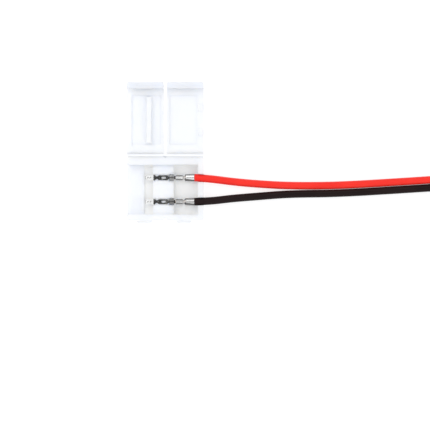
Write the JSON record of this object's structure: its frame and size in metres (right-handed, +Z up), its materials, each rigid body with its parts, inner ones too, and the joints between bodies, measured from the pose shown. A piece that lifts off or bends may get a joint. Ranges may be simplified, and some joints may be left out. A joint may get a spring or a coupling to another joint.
{
  "type": "led strip connector",
  "caption": "Clip-on connector for a 10 mm wide LED strip, lying open, with crimped contacts and a red and black lead.",
  "frame": {"origin": "middle of the tray's underside, on the strip's centreline", "axes": "+X from the strip's mouth towards the leads, +Y from the latch side towards the hinge side, +Z up from the underside"},
  "size_m": [0.0925, 0.0349, 0.0045],
  "materials": {
    "white_plastic": "milky white moulded plastic, satin gloss",
    "tinned_contact": "bright tin plate on stamped brass",
    "tinned_copper": "tinned copper strands",
    "red_insulation": "soft gloss, red",
    "black_insulation": "soft gloss, black"
  },
  "bodies": {
    "base_tray": {"base_tray": "white_plastic", "red_contact": "tinned_contact", "black_contact": "tinned_contact", "red_strands": "tinned_copper", "black_strands": "tinned_copper", "red_lead": "red_insulation", "black_lead": "black_insulation", "lead_coil": "red_insulation", "red_tail": "tinned_copper", "black_tail": "tinned_copper"},
    "strip_leaf": {"strip_leaf": "white_plastic"},
    "wire_leaf": {"wire_leaf": "white_plastic"}
  },
  "joints": [
    {"name": "strip_leaf_hinge", "type": "hinge", "parent": "base_tray", "child": "strip_leaf", "pos_m": [-0.00418, 0.00725, 0.00272], "axis": [1, 0, 0], "range_deg": [0, 180]},
    {"name": "wire_leaf_hinge", "type": "hinge", "parent": "base_tray", "child": "wire_leaf", "pos_m": [0.00418, 0.00725, 0.00272], "axis": [1, 0, 0], "range_deg": [0, 180]}
  ]
}
